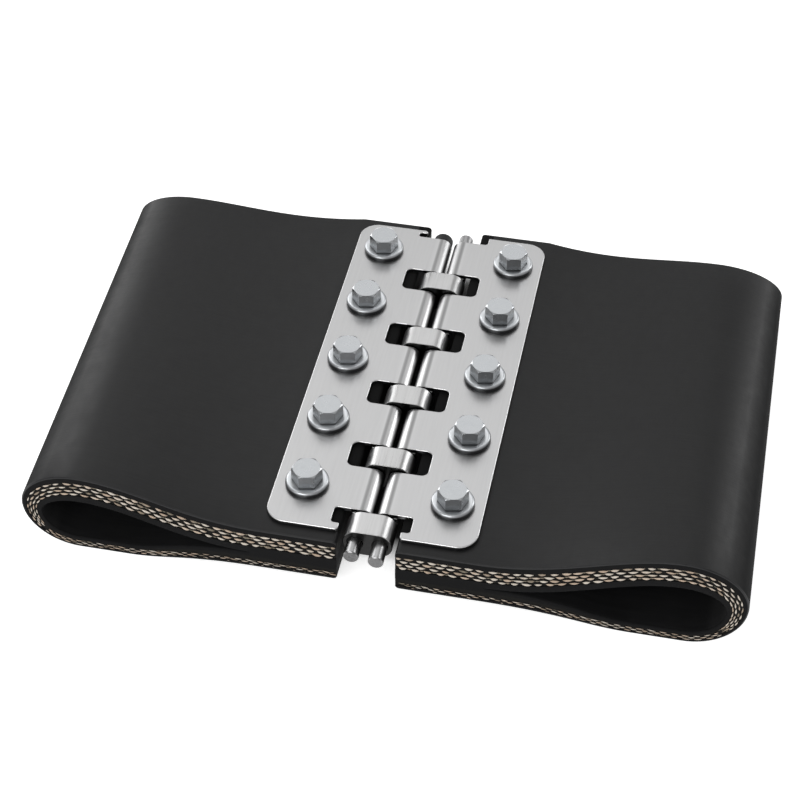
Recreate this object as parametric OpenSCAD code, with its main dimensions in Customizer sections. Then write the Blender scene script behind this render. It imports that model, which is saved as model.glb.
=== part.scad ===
// Hinged belt fastener strip, bolted to two folded belt ends.
// X runs along the belt, Y along the hinge pins and Z up; the loops rest on Z = 0.

/* [Plates] */
// Distance between two bolts along a plate
bolt_pitch = 38; // [36:0.5:44]
// Distance from the middle of the hinge to each row of bolts
bolt_x = 30.2; // [29:0.1:31]
// Distance from the middle of the hinge to the outer edge of a plate
plate_out = 43.4; // [41.5:0.1:46]
// Thickness of a plate
plate_t = 2; // [1.6:0.1:2.6]
// Plate in front of the first bolt
front_margin = 22.4; // [21:0.1:26]
// Plate behind the last bolt
back_margin = 17.8; // [16.5:0.1:22]
// Radius of the outer corners
corner_r = 8.5; // [4:0.5:10]
// Round of the edge of a plate, seen from above, at its notches
notch_r = 1.4; // [0.8:0.1:1.6]

/* [Hinge] */
// Diameter of a hinge pin
pin_d = 6.35; // [5.5:0.05:7]
// Running clearance around a pin
pin_play = 0.05; // [0.03:0.01:0.08]
// Wall of the rolled knuckles
knuckle_wall = 1.4; // [1.2:0.1:1.8]
// Gap between the knuckles of the two plates
knuckle_gap = 1; // [0.8:0.1:2]
// Length of a link window along the hinge
window_l = 13.9; // [13:0.1:16]
// Distance from the middle of the hinge to the outer end of a window
window_x = 17; // [16:0.1:18]
// Radius of the corners of a window
window_r = 2.8; // [1.5:0.1:4]
// Distance from a window's middle to the bolt behind it
window_lead = 17.4; // [16:0.1:19]
// First knuckle in front of the first bolt
knuckle_front = 10.2; // [9:0.1:11]
// Last knuckle behind the last bolt
knuckle_back = 13.2; // [12:0.1:14]
// Length of the notch in front of the first knuckle
front_notch = 8.4; // [7.5:0.1:9]
// Width of the tab that closes the notch behind the left plate's last knuckle
back_tab = 1.9; // [1.2:0.1:2.4]
// Distance from the middle of the hinge to the inner end of the tabs
tab_in = 12.6; // [12.3:0.1:13.5]
// Distance from the middle of the hinge to the outer end of the notches
notch_out = 16.2; // [15.5:0.1:17]
// Width of the seam where the rolled edge closes on its plate
seam = 0.4; // [0.2:0.1:0.6]

/* [Links] */
// Wall of a link above and below its pins
link_wall = 3.2; // [2.6:0.1:3.8]
// Wall of a link beside its pins
link_side = 1.85; // [1.4:0.05:3]
// Length of a link along the pins
link_l = 11.2; // [9:0.1:12]
// Length of the link at the front end
front_link_l = 11.6; // [10:0.1:14]
// Gap between a link and the knuckle that it bears on
link_float = 0.4; // [0.3:0.1:0.8]
// Gap between the front link and the first knuckle
front_float = 2.4; // [0.4:0.1:3]
// Gap between the swing of a link and the end of the belt
link_gap = 0.5; // [0.4:0.1:1]
// Length of the right pin in front of the front link
pin_front = 8.8; // [5:0.1:12]
// How much less the left pin stands out in front
pin_step = 1; // [0:0.1:2]
// Length of the right pin behind its last knuckle
pin_back = 7.2; // [4:0.1:9]
// Bevel on the ends of the pins
pin_bevel = 0.5; // [0.2:0.1:1]

/* [Pin cap] */
// Diameter of the cap on the back end of the left pin
cap_d = 8.8; // [8:0.1:9.2]
// Length of the cap
cap_l = 4.8; // [4:0.1:6]
// Depth of the pin in the cap
cap_grip = 3.2; // [2:0.1:3.4]
// Round of the cap's end
cap_r = 1.6; // [0.8:0.1:2.4]
// Gap between the cap and the last knuckle
cap_gap = 0.4; // [0.3:0.1:1]

/* [Bolts] */
// Diameter of the bolts
bolt_d = 6.35; // [5:0.05:7]
// Width of the hex heads across flats
hex_af = 11.1; // [10:0.1:11.6]
// Height of the hex heads
hex_h = 6.7; // [4:0.1:8]
// Turn of the tightened heads
hex_turn = 11.5; // [0:0.5:60]
// Clearance around the bolts
bolt_play = 0.4; // [0.3:0.05:0.6]
// Diameter of the washers
washer_d = 18; // [17.4:0.1:18.6]
// Thickness of the washers at the rim
washer_t = 2.6; // [2:0.1:3]
// Round of the washer's rim
washer_r = 1.2; // [0.6:0.1:1.6]
// Depth of the seat for the head
washer_dish = 0.4; // [0.2:0.1:0.8]
// Width of the slope round the seat
washer_slope = 0.9; // [0.4:0.1:1.2]
// Diameter of the flange on the nuts
nut_flange_d = 16; // [14:0.5:17]
// Thickness of the flange on the nuts
nut_flange_t = 1.6; // [1.2:0.1:2]
// Height of the hex on the nuts
nut_h = 5.2; // [4:0.1:5.4]
// Room round a nut in its pocket
nut_room = 0.8; // [0.5:0.1:1.2]
// Depth of the nuts below the underside of the belt
nut_sink = 0.8; // [0.4:0.1:1.2]

/* [Belt] */
// Belt beyond the plates at each edge
belt_margin = 5.4; // [3:0.1:10]
// Thickness of the top run
top_t = 14; // [12:0.1:15]
// Thickness at the end of the bend
bend_t = 8.4; // [7:0.1:10]
// Thickness of the return run where it rests
low_t = 6; // [5:0.1:7]
// Thickness where the two runs are bonded together
end_t = 22.3; // [21:0.1:24]
// Height of the bonded end above the surface that the loops rest on
end_lift = 4.7; // [3:0.1:6]
// Share of the thickness in the outer cover
cover_share = 0.22; // [0.15:0.01:0.3]
// Share of the thickness in the inner cover
inner_share = 0.26; // [0.2:0.01:0.35]
// Distance from the middle of the hinge to the end of the bond
bond_x = 48; // [44:1:56]
// Width of the flat where a loop rests
belly_flat = 20; // [10:1:30]
// Round of the corners of the bonded end
end_r = 1.6; // [0.6:0.1:1.8]
// Pull of the top run down beside the plate, at the back edge
back_dip = 6.2; // [0:0.1:7]

/* [Left loop] */
// Distance from the middle of the hinge to the end of the loop, at the front edge
left_reach = 144; // [136:1:160]
// Distance from the middle of the hinge to the crest of the loop, at the front edge
left_crest_x = 119; // [110:1:126]
// Height of the crest at the front edge
left_crest_z = 41.2; // [38:0.1:48]
// Height of the end of the bend at the front edge
left_end_z = 21.4; // [18:0.1:24]
// How much further the loop reaches at the back edge
left_skew = 11.5; // [0:0.5:16]
// How much further out the crest lies at the back edge
left_crest_skew = 9; // [-4:0.5:12]
// How much lower the crest lies at the back edge
left_crest_fall = 14.6; // [0:0.1:16]
// How much lower the end of the bend lies at the back edge
left_end_fall = 9.4; // [0:0.1:10]

/* [Right loop] */
// Distance from the middle of the hinge to the end of the loop, at the front edge
right_reach = 152; // [144:1:168]
// Distance from the middle of the hinge to the crest of the loop, at the front edge
right_crest_x = 126; // [116:1:134]
// Height of the crest at the front edge
right_crest_z = 45.2; // [42:0.1:52]
// Height of the end of the bend at the front edge
right_end_z = 24; // [20:0.1:26]
// How much further the loop reaches at the back edge
right_skew = 1.5; // [0:0.5:10]
// How much further out the crest lies at the back edge
right_crest_skew = -3.5; // [-8:0.5:6]
// How much lower the crest lies at the back edge
right_crest_fall = 17.8; // [0:0.1:19]
// How much lower the end of the bend lies at the back edge
right_end_fall = 12; // [0:0.1:13]

/* [Hidden] */
$fn = 96;
eps = 0.01;
over = 1;
bolt_n = 5;

// Hinge
bore_r = pin_d / 2 + pin_play;
knuckle_r = bore_r + knuckle_wall;
pin_x = knuckle_r + knuckle_gap / 2;
link_r = bore_r + link_wall;
link_x = pin_x + link_side - link_wall;
end_x = pin_x + link_r + link_gap;

// Heights
belt_top_z = end_lift + end_t;
bond_z = belt_top_z - top_t;
plate_z = belt_top_z + plate_t;
axis_z = plate_z - knuckle_r;
seat_z = plate_z + washer_t - washer_dish;
pocket_z = end_lift + nut_sink + nut_h + nut_flange_t;

// Places along the hinge
plate_l = (bolt_n - 1) * bolt_pitch + front_margin + back_margin;
plate_y = plate_l / 2;
belt_w = plate_l + 2 * belt_margin;
function bolt_y(i) = front_margin - plate_y + i * bolt_pitch;
function window_y(i) = bolt_y(i) - window_lead;
first_y = bolt_y(0) - knuckle_front;
last_y = bolt_y(bolt_n - 1) + knuckle_back;
function knuckle_from(i) = i == 0 ? first_y : window_y(i) + window_l / 2;
function knuckle_to(i) = i == bolt_n - 1 ? last_y : window_y(i + 1) - window_l / 2;
front_link_y = first_y - front_float - front_link_l;
pin_y = front_link_y - pin_front;
cap_y = last_y + cap_gap;

// The model is centred on its own box
left_end = left_reach + max(0, left_skew);
right_end = right_reach + max(0, right_skew);
mid_x = (right_end - left_end) / 2;
mid_y = (belt_w / 2 + pin_y) / 2;

// Points on a smooth curve
curve_n = 14;
round_k = 0.5523;
function bezier(a, b, c, d, t) =
    pow(1 - t, 3) * a + 3 * pow(1 - t, 2) * t * b + 3 * (1 - t) * t * t * c + pow(t, 3) * d;
function curve(a, b, c, d) = [for (i = [1:curve_n]) bezier(a, b, c, d, i / curve_n)];
function sway(a, d, from, to, dip = 0) =
    curve(a, [a.x + from * (d.x - a.x), a.y - dip], [d.x - to * (d.x - a.x), d.y], d);
function turn_down(a, d) =
    curve(a, [a.x + round_k * (d.x - a.x), a.y], [d.x, d.y + round_k * (a.y - d.y)], d);
function turn_back(a, d) =
    curve(a, [a.x, a.y + round_k * (d.y - a.y)], [d.x + round_k * (a.x - d.x), d.y], d);

// One line of the folded strip in X and Z: along the top run, round the bend and back below.
// flat_x is where the top run leaves the plate, top_z and foot_z its heights at the hinge,
// and belly is the middle of the flat where the loop rests.
rise_from = 0.43;
rise_to = 0.31;
fall_from = 0.3;
fall_to = 0.6;
belly_back = 8;
function strip_line(flat_x, top_z, foot_z, crest, tip, rest_z, belly, dip = 0) =
    let (
        near = [belly - belly_flat / 2, rest_z],
        far = [belly + belly_flat / 2, rest_z]
    )
    concat(
        [[end_x, top_z], [flat_x, top_z]],
        sway([flat_x, top_z], crest, rise_from, rise_to, dip),
        turn_down(crest, tip),
        turn_back(tip, far),
        [near],
        sway(near, [flat_x, foot_z], fall_from, fall_to),
        [[end_x, foot_z]]
    );
flat_gap = 0.6;
bend_drop = 3;
// Outer and inner line of a belt end at one of its edges
function edge_lines(belly, reach, crest_x, crest_z, end_z, dip = 0) = [
    strip_line(plate_out + flat_gap, belt_top_z, end_lift, [crest_x, crest_z], [reach, end_z], 0,
        belly, dip),
    strip_line(bond_x, bond_z, bond_z, [crest_x, crest_z - top_t],
        [reach - bend_t, end_z - bend_drop], low_t, belly)
];
function between(outer, inner, share) =
    [for (i = [0:len(outer) - 1]) (1 - share) * outer[i] + share * inner[i]];

// The lines of each belt end at its front edge and at its back edge, where the loop lies flatter
left_belly = left_crest_x - belly_back;
left_edges = [
    edge_lines(left_belly, left_reach, left_crest_x, left_crest_z, left_end_z),
    edge_lines(left_belly, left_reach + left_skew, left_crest_x + left_crest_skew,
        left_crest_z - left_crest_fall, left_end_z - left_end_fall, back_dip)
];
right_belly = right_crest_x - belly_back;
right_edges = [
    edge_lines(right_belly, right_reach, right_crest_x, right_crest_z, right_end_z),
    edge_lines(right_belly, right_reach + right_skew, right_crest_x + right_crest_skew,
        right_crest_z - right_crest_fall, right_end_z - right_end_fall, back_dip)
];

// Points of two lines of a belt end: upper and lower at the front, then upper and lower at the back
function rims(edges, upper, lower) = [
    for (k = [0, 1], share = [upper, lower], p = between(edges[k][0], edges[k][1], share))
        [p.x, (k - 0.5) * belt_w, p.y]
];
// Triangles between two lines of n points that start at the points a and b
function skin(a, b, n) =
    [for (i = [0:n - 2], t = [[a + i, b + i, b + i + 1], [a + i, b + i + 1, a + i + 1]]) t];
function flipped(faces) = [for (f = faces) [f[2], f[1], f[0]]];

module placed(left = false) {
    translate([-mid_x, -mid_y, 0]) mirror([left ? 1 : 0, 0, 0]) children();
}

// A cylinder along the hinge from y0 to y1
module along(r, y0, y1) {
    translate([0, y0, 0]) rotate([-90, 0, 0]) cylinder(r = r, h = y1 - y0);
}

module rounded_rect(x0, y0, x1, y1, r) {
    translate([x0 + r, y0]) square([x1 - x0 - 2 * r, y1 - y0]);
    translate([x0, y0 + r]) square([x1 - x0, y1 - y0 - 2 * r]);
    for (x = [x0 + r, x1 - r], y = [y0 + r, y1 - r]) translate([x, y]) circle(r);
}

module plate_outline(tab) {
    difference() {
        union() {
            rounded_rect(tab_in, -plate_y, plate_out, plate_y, corner_r);
            rounded_rect(tab_in, -plate_y, plate_out - corner_r, plate_y, notch_r);
        }
        for (i = [1:bolt_n - 1])
            rounded_rect(0, window_y(i) - window_l / 2, window_x, window_y(i) + window_l / 2, window_r);
        rounded_rect(0, first_y - front_notch, notch_out, first_y, notch_r);
        rounded_rect(0, last_y, notch_out, plate_y + (tab ? -back_tab : over + notch_r), notch_r);
        for (i = [0:bolt_n - 1])
            translate([bolt_x, bolt_y(i)]) circle(bolt_d / 2 + bolt_play);
    }
}

// A plate with the knuckles rolled from its inner edge
module plate(tab) {
    color([0.76, 0.77, 0.78]) difference() {
        union() {
            translate([0, 0, plate_z - plate_t]) linear_extrude(plate_t) plate_outline(tab);
            for (i = [0:bolt_n - 1]) {
                translate([pin_x, knuckle_from(i), plate_z - plate_t])
                    cube([window_x - pin_x, knuckle_to(i) - knuckle_from(i), plate_t]);
                translate([pin_x, 0, axis_z]) along(knuckle_r, knuckle_from(i), knuckle_to(i));
            }
        }
        translate([pin_x, 0, axis_z]) along(bore_r, first_y - over, last_y + over);
        translate([pin_x, first_y - over, plate_z - plate_t - seam])
            cube([knuckle_r + over, last_y - first_y + 2 * over, seam]);
    }
}

module bevelled_pin(y0, y1) {
    color([0.72, 0.73, 0.74]) translate([0, y0, 0]) rotate([-90, 0, 0]) rotate_extrude()
        polygon([
            [0, 0], [pin_d / 2 - pin_bevel, 0], [pin_d / 2, pin_bevel],
            [pin_d / 2, y1 - y0 - pin_bevel], [pin_d / 2 - pin_bevel, y1 - y0], [0, y1 - y0]
        ]);
}

module pin_cap() {
    color([0.08, 0.08, 0.09]) translate([pin_x, cap_y, axis_z]) rotate([-90, 0, 0])
        rotate_extrude() difference() {
            union() {
                square([cap_d / 2, cap_l - cap_r]);
                square([cap_d / 2 - cap_r, cap_l]);
                translate([cap_d / 2 - cap_r, cap_l - cap_r]) circle(cap_r);
            }
            translate([-cap_d, -cap_l]) square([cap_d, 3 * cap_l]);
            translate([0, -over]) square([bore_r, cap_grip + over]);
        }
}

// An obround bar with a bore for each pin
module link(y0, length) {
    color([0.74, 0.75, 0.76]) difference() {
        union() {
            for (side = [-1, 1]) translate([side * link_x, 0, axis_z]) along(link_r, y0, y0 + length);
            translate([-link_x, y0, axis_z - link_r]) cube([2 * link_x, length, 2 * link_r]);
        }
        for (side = [-1, 1])
            translate([side * pin_x, 0, axis_z]) along(bore_r, y0 - over, y0 + length + over);
    }
}
module window_link(i) {
    link(window_y(i) - window_l / 2 + link_float, link_l);
}

module at_bolts() {
    for (i = [0:bolt_n - 1]) translate([bolt_x, bolt_y(i), 0]) children();
}

// A hexagon with its upper corners turned off at 30 degrees
module hex_head(af, h) {
    corner = af / sqrt(3);
    chamfer = (corner - af / 2) * tan(30);
    intersection() {
        cylinder(r = corner, h = h, $fn = 6);
        union() {
            cylinder(r = corner + over, h = h - chamfer - over * tan(30));
            translate([0, 0, h - chamfer - over * tan(30)])
                cylinder(r1 = corner + over, r2 = af / 2, h = chamfer + over * tan(30));
        }
    }
}

module bolts(turn) {
    color([0.66, 0.68, 0.7]) at_bolts() {
        translate([0, 0, seat_z]) rotate([0, 0, turn]) hex_head(hex_af, hex_h);
        translate([0, 0, end_lift + nut_sink]) cylinder(d = bolt_d, h = seat_z + eps - end_lift - nut_sink);
    }
}

module washers() {
    head_r = hex_af / sqrt(3) + 2 * pin_play;
    color([0.8, 0.81, 0.82]) at_bolts() translate([0, 0, plate_z]) rotate_extrude() difference() {
        union() {
            square([washer_d / 2 - washer_r, washer_t]);
            square([washer_d / 2, washer_t - washer_r]);
            translate([washer_d / 2 - washer_r, washer_t - washer_r]) circle(washer_r);
        }
        translate([-washer_d, -washer_t]) square([washer_d, 3 * washer_t]);
        translate([0, -over]) square([bolt_d / 2 + bolt_play, washer_t + 2 * over]);
        polygon([
            [0, washer_t - washer_dish], [head_r, washer_t - washer_dish],
            [head_r + washer_slope, washer_t], [head_r + washer_slope, washer_t + over], [0, washer_t + over]
        ]);
    }
}

module nuts(turn) {
    color([0.62, 0.63, 0.65]) at_bolts() difference() {
        union() {
            translate([0, 0, pocket_z - nut_flange_t]) cylinder(d = nut_flange_d, h = nut_flange_t);
            translate([0, 0, end_lift + nut_sink]) rotate([0, 0, turn])
                cylinder(r = hex_af / sqrt(3), h = nut_h + eps, $fn = 6);
        }
        cylinder(r = bolt_d / 2 + pin_play, h = pocket_z + over);
    }
}

// What the bolts and nuts take out of a belt end
module bolt_holes() {
    at_bolts() {
        cylinder(r = bolt_d / 2 + bolt_play, h = belt_top_z + over);
        cylinder(r = nut_flange_d / 2 + nut_room, h = pocket_z);
    }
}

// A layer of the folded strip between two shares of its thickness
module layer(edges, upper, lower) {
    n = len(edges[0][0]);
    difference() {
        polyhedron(rims(edges, upper, lower), concat(
            skin(0, 2 * n, n), flipped(skin(n, 3 * n, n)),
            flipped(skin(0, n, n)), skin(2 * n, 3 * n, n),
            [[2 * n, 0, n, 3 * n], [n - 1, 3 * n - 1, 4 * n - 1, 2 * n - 1]]
        ));
        bolt_holes();
    }
}
// What the round takes off a square corner
module corner(r) {
    difference() {
        translate([-over, -over]) square(r + over);
        translate([r, r]) circle(r);
    }
}
module outer_cover(edges) {
    color([0.11, 0.11, 0.12]) difference() {
        layer(edges, 0, cover_share);
        rotate([90, 0, 0]) linear_extrude(belt_w + 2 * over, center = true) {
            translate([end_x, end_lift]) corner(end_r);
            translate([end_x, belt_top_z]) mirror([0, 1]) corner(end_r);
        }
    }
}
module carcass(edges) {
    color([0.72, 0.62, 0.45]) layer(edges, cover_share, 1 - inner_share);
}
// The inner cover is bonded to itself near the hinge and open inside the loop
module inner_cover(edges) {
    n = len(edges[0][0]);
    color([0.14, 0.14, 0.15]) difference() {
        polyhedron(rims(edges, 1 - inner_share, 1), concat(
            skin(0, 2 * n, n), flipped(skin(n + 1, 3 * n + 1, n - 2)),
            flipped(skin(1, n + 1, n - 2)), skin(2 * n + 1, 3 * n + 1, n - 2),
            [
                [0, 1, n + 1], [0, n + 1, n - 1], [n + 1, n - 2, n - 1],
                [2 * n, 3 * n + 1, 2 * n + 1], [2 * n, 3 * n - 1, 3 * n + 1],
                [3 * n + 1, 3 * n - 1, 3 * n - 2],
                [2 * n, 0, n - 1, 3 * n - 1]
            ]
        ));
        bolt_holes();
    }
}

module left_plate() placed(true) plate(true);
module right_plate() placed() plate(false);
module left_hinge_pin() placed(true) translate([pin_x, 0, axis_z])
    bevelled_pin(pin_y + pin_step, cap_y + cap_grip);
module right_hinge_pin() placed() translate([pin_x, 0, axis_z]) bevelled_pin(pin_y, last_y + pin_back);
module left_pin_cap() placed(true) pin_cap();
module link_1() placed() link(front_link_y, front_link_l);
module link_2() placed() window_link(1);
module link_3() placed() window_link(2);
module link_4() placed() window_link(3);
module link_5() placed() window_link(4);
module left_bolts() placed(true) bolts(-hex_turn);
module right_bolts() placed() bolts(hex_turn);
module left_washers() placed(true) washers();
module right_washers() placed() washers();
module left_nuts() placed(true) nuts(-hex_turn);
module right_nuts() placed() nuts(hex_turn);
module left_outer_cover() placed(true) outer_cover(left_edges);
module left_carcass() placed(true) carcass(left_edges);
module left_inner_cover() placed(true) inner_cover(left_edges);
module right_outer_cover() placed() outer_cover(right_edges);
module right_carcass() placed() carcass(right_edges);
module right_inner_cover() placed() inner_cover(right_edges);

left_plate();
right_plate();
left_hinge_pin();
right_hinge_pin();
left_pin_cap();
link_1();
link_2();
link_3();
link_4();
link_5();
left_bolts();
right_bolts();
left_washers();
right_washers();
left_nuts();
right_nuts();
left_outer_cover();
left_carcass();
left_inner_cover();
right_outer_cover();
right_carcass();
right_inner_cover();
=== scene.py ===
"""Looks of a hinged belt fastener strip on two folded belt ends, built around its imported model."""

import math
import random

import bmesh
import bpy
import numpy as np
from bpy.props import FloatProperty, FloatVectorProperty, IntProperty, PointerProperty
from bpy.types import Operator, Panel, PropertyGroup
from mathutils import Matrix, Vector


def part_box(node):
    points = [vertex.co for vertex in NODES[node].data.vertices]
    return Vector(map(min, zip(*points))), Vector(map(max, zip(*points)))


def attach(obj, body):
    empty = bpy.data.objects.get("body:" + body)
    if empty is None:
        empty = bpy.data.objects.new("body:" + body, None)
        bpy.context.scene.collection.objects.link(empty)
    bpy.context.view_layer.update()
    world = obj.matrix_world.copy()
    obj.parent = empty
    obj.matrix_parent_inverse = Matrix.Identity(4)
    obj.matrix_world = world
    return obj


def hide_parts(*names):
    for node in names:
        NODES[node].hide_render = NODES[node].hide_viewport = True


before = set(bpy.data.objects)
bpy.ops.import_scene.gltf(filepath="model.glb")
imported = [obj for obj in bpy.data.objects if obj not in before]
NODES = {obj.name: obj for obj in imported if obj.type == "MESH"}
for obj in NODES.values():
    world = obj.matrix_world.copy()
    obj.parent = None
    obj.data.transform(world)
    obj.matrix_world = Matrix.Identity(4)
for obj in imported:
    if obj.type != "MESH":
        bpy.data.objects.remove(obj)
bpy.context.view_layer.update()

bl_info = {
    "name": "Belt Fastener Strip",
    "version": (1, 0, 0),
    "blender": (4, 5, 0),
    "location": "View3D > Sidebar > Belt Strip",
    "description": "Dresses a hinged belt fastener strip and the folded belt ends that it joins",
    "category": "Object",
}

SIDES = ("left", "right")
BODY = {"left": "left_half", "right": "right_half"}
SIGN = {"left": -1.0, "right": 1.0}
MM = 0.001


# Sizes and colours

def length(name, description, default, low=0.0, high=1.0):
    """A size in metres."""
    return FloatProperty(name=name, description=description, default=default, min=low, max=high,
                         precision=5, subtype="DISTANCE", unit="LENGTH")


def share(name, description, default):
    """A number from nought to one."""
    return FloatProperty(name=name, description=description, default=default, min=0.0, max=1.0,
                         subtype="FACTOR")


def tint(name, description, default):
    """A colour in linear light."""
    return FloatVectorProperty(name=name, description=description, default=default, size=3, min=0.0, max=1.0,
                               subtype="COLOR")


def light(name, description, default):
    """Strength of a light."""
    return FloatProperty(name=name, description=description, default=default, min=0.0)


class STRIP_PG_metal(PropertyGroup):
    """Steel pieces and the cap of a pin"""

    plate_tint: tint("Plate steel", "Colour of the brushed plates", (0.565, 0.565, 0.568))
    link_tint: tint("Link steel", "Colour of the links", (0.6, 0.6, 0.6))
    pin_tint: tint("Pin steel", "Colour of the drawn pins", (0.44, 0.44, 0.445))
    zinc_tint: tint("Zinc", "Colour of the plated bolts, washers and nuts", (0.64, 0.66, 0.68))
    cap_tint: tint("Cap", "Colour of the moulded pin cap", (0.012, 0.012, 0.013))
    plate_rough: share("Plate roughness", "Roughness of the brushed plates", 0.31)
    link_rough: share("Link roughness", "Roughness of the links", 0.3)
    zinc_rough: share("Zinc roughness", "Roughness of the plated bolts and nuts", 0.24)
    washer_rough: share("Washer roughness", "Roughness of the plated washers", 0.35)
    plate_edge: length("Plate edge", "Round on the edges of the plates", 0.00046)
    link_edge: length("Link edge", "Round on the edges of the links", 0.0004)
    bolt_edge: length("Bolt edge", "Round on the edges of the bolts", 0.0002)
    pin_edge: length("Pin edge", "Round on the ends of the pins", 0.00012)
    cap_edge: length("Cap edge", "Round on the edges of the pin cap", 0.0002)


class STRIP_PG_belt(PropertyGroup):
    """The folded belt ends"""

    cover_tint: tint("Cover rubber", "Colour of the rubber covers", (0.0112, 0.0112, 0.0117))
    cut_tint: tint("Cut rubber", "Colour of the rubber on the cut edges", (0.0105, 0.0105, 0.011))
    # edge_highlight_tint: lighter rubber along the cut edges, a painted highlight.
    edge_highlight_tint: tint("Rubbed edge", "Colour of the rubber along the cut edges", (0.02, 0.02, 0.021))
    cover_rough: share("Cover roughness", "Roughness of the rubber covers", 0.43)
    cover_gloss: share("Cover gloss", "Strength of the sheen on the covers", 0.3)
    edge_round: length("Edge round", "Round along the cut edges of the covers", 0.0007)
    end_round: length("End round", "Round across the bonded ends", 0.0016)
    # shade_reach: width of the painted shade on the covers beside the hinge.
    shade_reach: length("Hinge shade", "How far grime reaches from the middle of the hinge", 0.0185)
    core_recess: length("Core recess", "How far the woven core lies behind the cut edge", 0.0004)


class STRIP_PG_weave(PropertyGroup):
    """Yarns of the woven core, seen on the cut edges"""

    cream: tint("Cream yarn", "Colour of the bright yarns", (0.93, 0.84, 0.73))
    tan: tint("Tan yarn", "Colour of the warm yarns", (0.82, 0.64, 0.49))
    # deep_yarn_shade: dark colour of the yarns that lie deep, a painted shade.
    deep_yarn_shade: tint("Dim yarn", "Colour of the yarns that lie deep", (0.2, 0.19, 0.145))
    pitch: length("Yarn pitch", "Distance between two yarns of a row on the top run", 0.0049)
    yarn: length("Yarn length", "Length of a yarn that shows on the top run", 0.0037)
    thick: length("Yarn thickness", "Thickness of a yarn on the top run", 0.00112)
    low_pitch: length("Low pitch", "Distance between two yarns of a row on the return run", 0.0046)
    low_yarn: length("Low yarn length", "Length of a yarn that shows on the return run", 0.0031)
    low_thick: length("Low yarn thickness", "Thickness of a yarn on the return run", 0.00046)
    seed: IntProperty(name="Seed", description="Start of the irregular lay of the yarns", default=7, min=0)


class STRIP_PG_stage(PropertyGroup):
    """Floor, light and camera"""

    floor_tint: tint("Floor", "Colour of the floor", (0.9, 0.9, 0.9))
    glow: share("Floor glow", "White that the open floor shows", 0.78)
    shade: length("Floor shade", "How far from the part the floor darkens", 0.035)
    room: light("Room light", "Even light from all round", 0.36)
    top: light("Top panel", "Brightness of the panel behind and above", 0.74)
    left: light("Left box", "Brightness of the light on the left", 2.3)
    right: light("Right box", "Brightness of the light on the right", 3.2)
    front: light("Front box", "Brightness of the light in front", 4.0)
    lens: FloatProperty(name="Lens", description="Focal length on a sensor 36 mm wide", default=88.29, min=1.0,
                        subtype="DISTANCE_CAMERA")
    eye: FloatVectorProperty(name="Camera", description="Place of the camera", size=3, subtype="TRANSLATION",
                             unit="LENGTH", default=(0.11782, -0.60534, 0.61001))
    azimuth: FloatProperty(name="Azimuth", description="Turn of the view about the vertical", subtype="ANGLE",
                           default=math.radians(11.4763))
    elevation: FloatProperty(name="Elevation", description="Height of the view above the horizon",
                             subtype="ANGLE", default=math.radians(44.0))
    roll: FloatProperty(name="Roll", description="Turn of the picture", subtype="ANGLE",
                        default=math.radians(-0.1105))


# Node materials

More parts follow.
